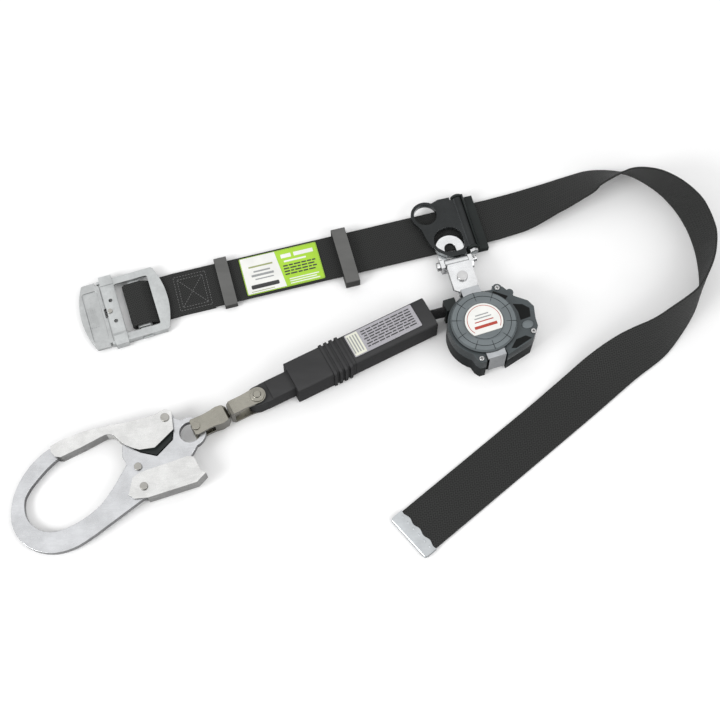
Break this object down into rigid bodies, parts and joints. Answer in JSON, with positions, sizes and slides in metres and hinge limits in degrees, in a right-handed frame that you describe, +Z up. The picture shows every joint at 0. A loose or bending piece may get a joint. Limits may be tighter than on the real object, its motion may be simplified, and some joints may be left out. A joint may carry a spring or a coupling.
{
  "type": "self retracting lifeline",
  "caption": "Waist belt with buckle and D-ring carrying a self-retracting webbing reel, energy absorber, swivel and large double-action scaffold hook.",
  "frame": {"origin": "centre of the bounding box on the surface it lies on", "axes": "+X towards the belt's bend, along the set; +Y towards the far side; +Z up from the surface"},
  "size_m": [0.7122, 0.4382, 0.0504],
  "materials": {
    "webbing": "matt twill",
    "keeper_plastic": "satin",
    "label_print": "satin",
    "pale_metal": "satin",
    "satin_steel": "satin",
    "dark_steel": "semi-gloss",
    "zinc_plate": "bright",
    "smoke_plastic": "gloss",
    "charcoal_plastic": "satin",
    "rubber": "matt",
    "warm_nickel": "satin",
    "silver_label": "satin",
    "white_label": "gloss"
  },
  "bodies": {
    "belt": {"belt_webbing": "webbing", "belt_tip": "pale_metal", "belt_label": "label_print", "buckle_frame": "satin_steel", "grip_bar": "satin_steel", "buckle_bridge": "satin_steel", "bridge_rivet": "zinc_plate", "lever_pin": "zinc_plate", "buckle_spring": "satin_steel"},
    "lever_plate": {"buckle_lever": "satin_steel"},
    "inner_loop": {"inner_keeper": "keeper_plastic"},
    "outer_loop": {"outer_keeper": "keeper_plastic"},
    "slider": {"belt_slider": "charcoal_plastic"},
    "ring": {"d_ring": "dark_steel", "bar_nut": "zinc_plate", "shackle": "zinc_plate", "shackle_pin": "zinc_plate", "cotter_pin": "satin_steel"},
    "bracket": {"reel_bracket": "zinc_plate", "swivel_rivet": "warm_nickel"},
    "reel": {"reel_rear_shell": "charcoal_plastic", "reel_front_shell": "smoke_plastic", "webbing_guide": "charcoal_plastic", "housing_screw_1": "satin_steel", "housing_screw_2": "satin_steel", "housing_screw_3": "satin_steel", "reel_strap": "zinc_plate", "reel_bezel": "smoke_plastic", "reel_label": "white_label", "main_shaft": "satin_steel", "main_spring": "satin_steel", "pawl_pin": "satin_steel", "pawl_spring": "satin_steel"},
    "spool": {"drum": "warm_nickel", "webbing_roll": "webbing", "ratchet_wheel": "satin_steel"},
    "catch": {"pawl": "warm_nickel"},
    "lanyard": {"lifeline_webbing": "webbing", "absorber_case": "rubber", "absorber_sleeve": "rubber", "tear_webbing": "webbing", "absorber_neck": "rubber", "absorber_label": "silver_label", "eye_bush": "satin_steel"},
    "yoke": {"fork": "warm_nickel", "fork_bolt": "warm_nickel", "fork_nut": "warm_nickel"},
    "swivel": {"swivel_clevis": "warm_nickel", "clevis_pin": "warm_nickel"},
    "hook": {"hook_body": "zinc_plate", "gate_rivet": "warm_nickel", "stop_rivet": "warm_nickel", "lever_rivet": "warm_nickel", "spring_seat": "charcoal_plastic", "gate_spring": "satin_steel", "lever_spring": "satin_steel"},
    "gate": {"hook_gate": "zinc_plate"},
    "lock": {"lock_lever": "zinc_plate"}
  },
  "joints": [
    {"name": "buckle_release", "type": "hinge", "parent": "belt", "child": "lever_plate", "pos_m": [-0.27549, 0.04321, 0.005], "axis": [-0.309, 0.9511, 0], "range_deg": [0, 44]},
    {"name": "inner_keeper_slide", "type": "slide", "parent": "belt", "child": "inner_loop", "axis": [0.9659, 0.2588, 0], "range_m": [-0.006, 0.085]},
    {"name": "outer_keeper_slide", "type": "slide", "parent": "belt", "child": "outer_loop", "axis": [0.9659, 0.2588, 0], "range_m": [-0.08, 0.05]},
    {"name": "ring_slide", "type": "slide", "parent": "belt", "child": "slider", "axis": [0.9659, 0.2588, 0], "range_m": [-0.04, 0.008]},
    {"name": "ring_swing", "type": "hinge", "parent": "slider", "child": "ring", "pos_m": [0.09738, 0.14711, 0.012], "axis": [-0.2588, 0.9659, 0], "range_deg": [0, 95]},
    {"name": "bracket_swing", "type": "hinge", "parent": "ring", "child": "bracket", "pos_m": [0.08779, 0.09982, 0.0105], "axis": [-0.9659, -0.2588, 0], "range_deg": [0, 60]},
    {"name": "reel_swivel", "type": "hinge", "parent": "bracket", "child": "reel", "pos_m": [0.09209, 0.0757, 0.022], "axis": [0, 0, 1], "range_deg": [-8, 25]},
    {"name": "drum_spin", "type": "hinge", "parent": "reel", "child": "spool", "pos_m": [0.11151, 0.01766, 0.0155], "axis": [0, 0, 1], "range_deg": [0, 51.6]},
    {"name": "pawl_swing", "type": "hinge", "parent": "reel", "child": "catch", "pos_m": [0.15197, 0.03225, 0.03], "axis": [0, 0, 1], "range_deg": [0, 14]},
    {"name": "line_payout", "type": "slide", "parent": "reel", "child": "lanyard", "axis": [-0.9613, -0.2756, 0], "range_m": [0, 0.02783]},
    {"name": "yoke_turn", "type": "hinge", "parent": "lanyard", "child": "yoke", "pos_m": [-0.11698, -0.05826, 0.0155], "axis": [0, 0, -1], "range_deg": [-25, 12]},
    {"name": "swivel_spin", "type": "hinge", "parent": "yoke", "child": "swivel", "pos_m": [-0.14347, -0.07235, 0.0155], "axis": [-0.8829, -0.4695, 0], "continuous": true},
    {"name": "hook_swing", "type": "hinge", "parent": "swivel", "child": "hook", "pos_m": [-0.17702, -0.09019, 0.0155], "axis": [0, 0, 1], "range_deg": [-35, 35]},
    {"name": "gate_swing", "type": "hinge", "parent": "hook", "child": "gate", "pos_m": [-0.2083, -0.07997, 0.01452], "axis": [-0.0535, -0.0255, 0.9982], "range_deg": [0, 28], "stiffness_Nm_per_rad": 0.3, "springref_deg": -11.46},
    {"name": "lock_press", "type": "hinge", "parent": "hook", "child": "lock", "pos_m": [-0.22551, -0.15078, 0.01178], "axis": [-0.0535, -0.0255, 0.9982], "range_deg": [0, 6], "stiffness_Nm_per_rad": 0.3, "springref_deg": -11.46}
  ],
  "couplings": [
    {"joint": "drum_spin", "follows": "line_payout", "rad_per_m": 32.258}
  ]
}
